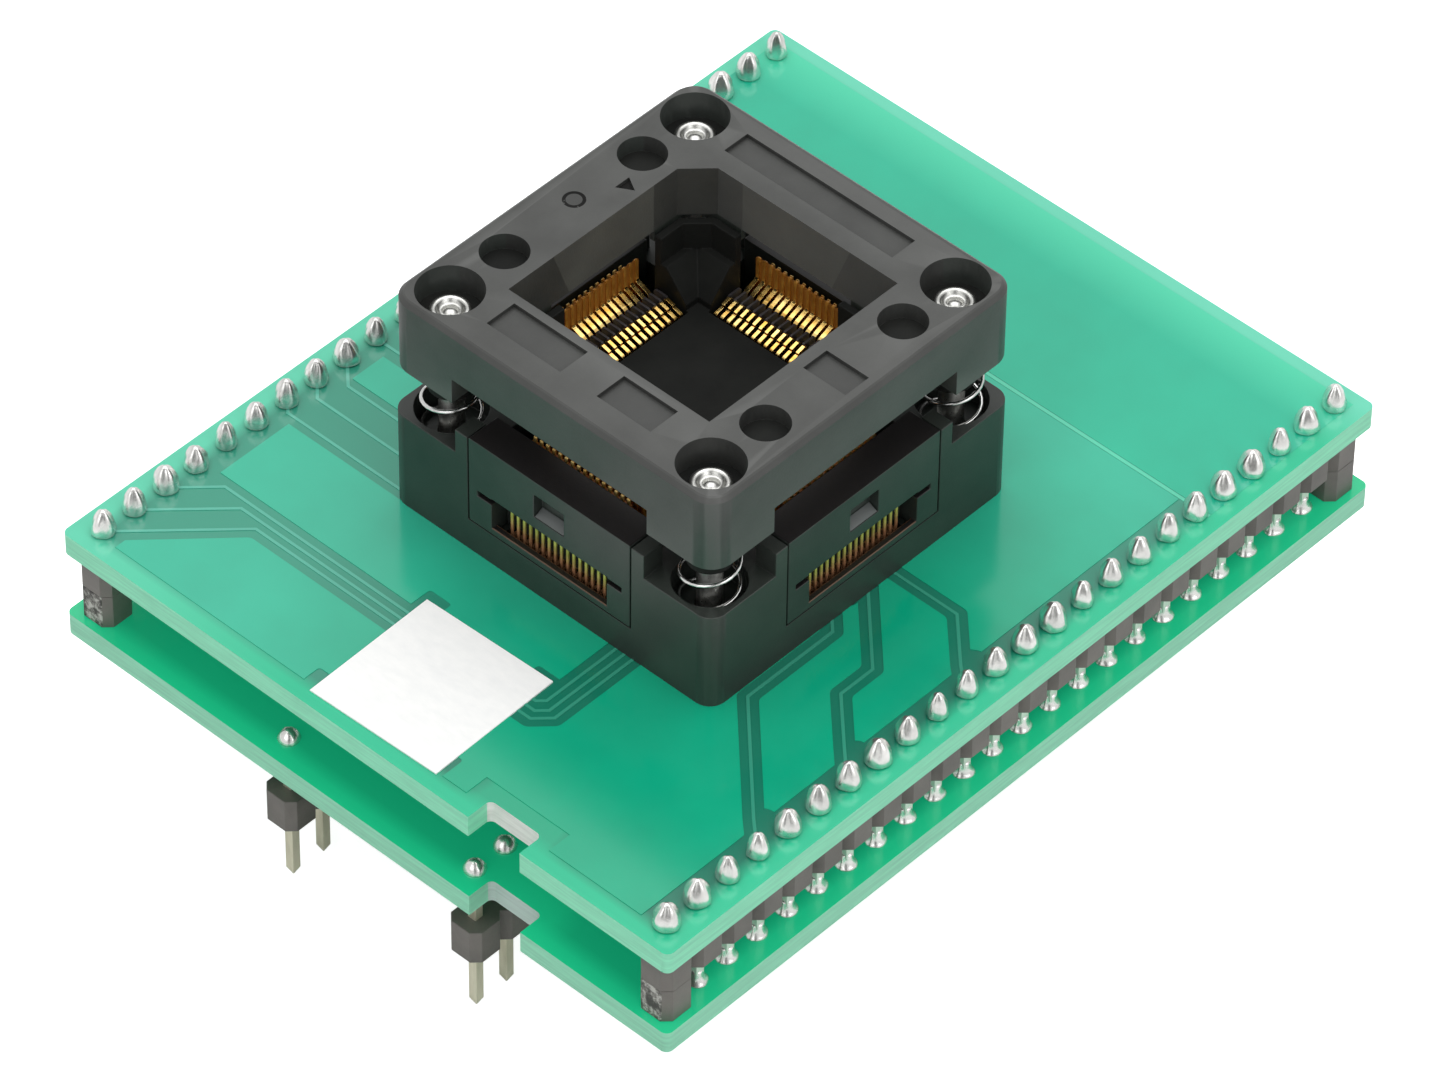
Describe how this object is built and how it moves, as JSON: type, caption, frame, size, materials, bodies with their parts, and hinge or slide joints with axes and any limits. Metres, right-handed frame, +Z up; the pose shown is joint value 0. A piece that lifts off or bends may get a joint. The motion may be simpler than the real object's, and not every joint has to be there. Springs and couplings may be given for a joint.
{
  "type": "zif socket adapter",
  "caption": "Two-board adapter that carries an open-top spring-cover test socket for a flat package on a dual in-line pin plug.",
  "frame": {"origin": "midway between the plug's two pin rows, level with the pin tips", "axes": "+X along the boards' long side, away from the orientation notch, +Y towards the left pin rows, +Z up out of the socket's opening"},
  "size_m": [0.062, 0.0494, 0.0351],
  "materials": {
    "solder_mask": "green solder mask over glass epoxy",
    "header_plastic": "moulded, slightly rough",
    "pin_metal": "tin plated, satin",
    "solder": "bright solder",
    "label_paper": "matt white paper, blank",
    "base_plastic": "moulded, dark",
    "cover_plastic": "moulded, fine grain",
    "contact_gold": "gold plated",
    "rivet_steel": "turned, riveted head",
    "spring_steel": "bright spring wire"
  },
  "bodies": {
    "adapter": {"bottom_board": "solder_mask", "top_board": "solder_mask", "link_spacers": "header_plastic", "label_sticker": "label_paper", "socket_base": "base_plastic", "nest": "base_plastic", "plug_strip_left": "header_plastic", "link_strip_left": "header_plastic", "plug_pins_left": "pin_metal", "link_pins_left": "pin_metal", "plug_solder_left": "solder", "link_solder_left": "solder", "top_solder_left": "solder", "plug_strip_right": "header_plastic", "link_strip_right": "header_plastic", "plug_pins_right": "pin_metal", "link_pins_right": "pin_metal", "plug_solder_right": "solder", "link_solder_right": "solder", "top_solder_right": "solder", "side_plate_back": "base_plastic", "fixed_contacts_back": "contact_gold", "side_plate_left": "base_plastic", "fixed_contacts_left": "contact_gold", "side_plate_front": "base_plastic", "fixed_contacts_front": "contact_gold", "side_plate_right": "base_plastic", "fixed_contacts_right": "contact_gold", "spring_front_left": "spring_steel", "spring_front_right": "spring_steel", "spring_back_left": "spring_steel", "spring_back_right": "spring_steel"},
    "cover": {"cover": "cover_plastic", "guide_pins": "rivet_steel"},
    "arms_back": {"contact_arms_back": "contact_gold"},
    "arms_left": {"contact_arms_left": "contact_gold"},
    "arms_front": {"contact_arms_front": "contact_gold"},
    "arms_right": {"contact_arms_right": "contact_gold"}
  },
  "joints": [
    {"name": "cover_press", "type": "slide", "parent": "adapter", "child": "cover", "axis": [0, 0, -1], "range_m": [0, 0.0035], "stiffness_N_per_m": 2000, "springref_m": -0.002, "deforming": ["spring_front_left", "spring_front_right", "spring_back_left", "spring_back_right"]},
    {"name": "arms_back_lift", "type": "hinge", "parent": "adapter", "child": "arms_back", "pos_m": [0.00635, -0.0003, 0.02267], "axis": [0, 1, 0], "range_deg": [0, 9]},
    {"name": "arms_left_lift", "type": "hinge", "parent": "adapter", "child": "arms_left", "pos_m": [-0.00235, 0.0084, 0.02267], "axis": [-1, 0, 0], "range_deg": [0, 9]},
    {"name": "arms_front_lift", "type": "hinge", "parent": "adapter", "child": "arms_front", "pos_m": [-0.01105, -0.0003, 0.02267], "axis": [0, -1, 0], "range_deg": [0, 9]},
    {"name": "arms_right_lift", "type": "hinge", "parent": "adapter", "child": "arms_right", "pos_m": [-0.00235, -0.009, 0.02267], "axis": [1, 0, 0], "range_deg": [0, 9]}
  ],
  "couplings": [
    {"joint": "arms_back_lift", "follows": "cover_press", "rad_per_m": 44.88},
    {"joint": "arms_left_lift", "follows": "cover_press", "rad_per_m": 44.88},
    {"joint": "arms_front_lift", "follows": "cover_press", "rad_per_m": 44.88},
    {"joint": "arms_right_lift", "follows": "cover_press", "rad_per_m": 44.88}
  ]
}
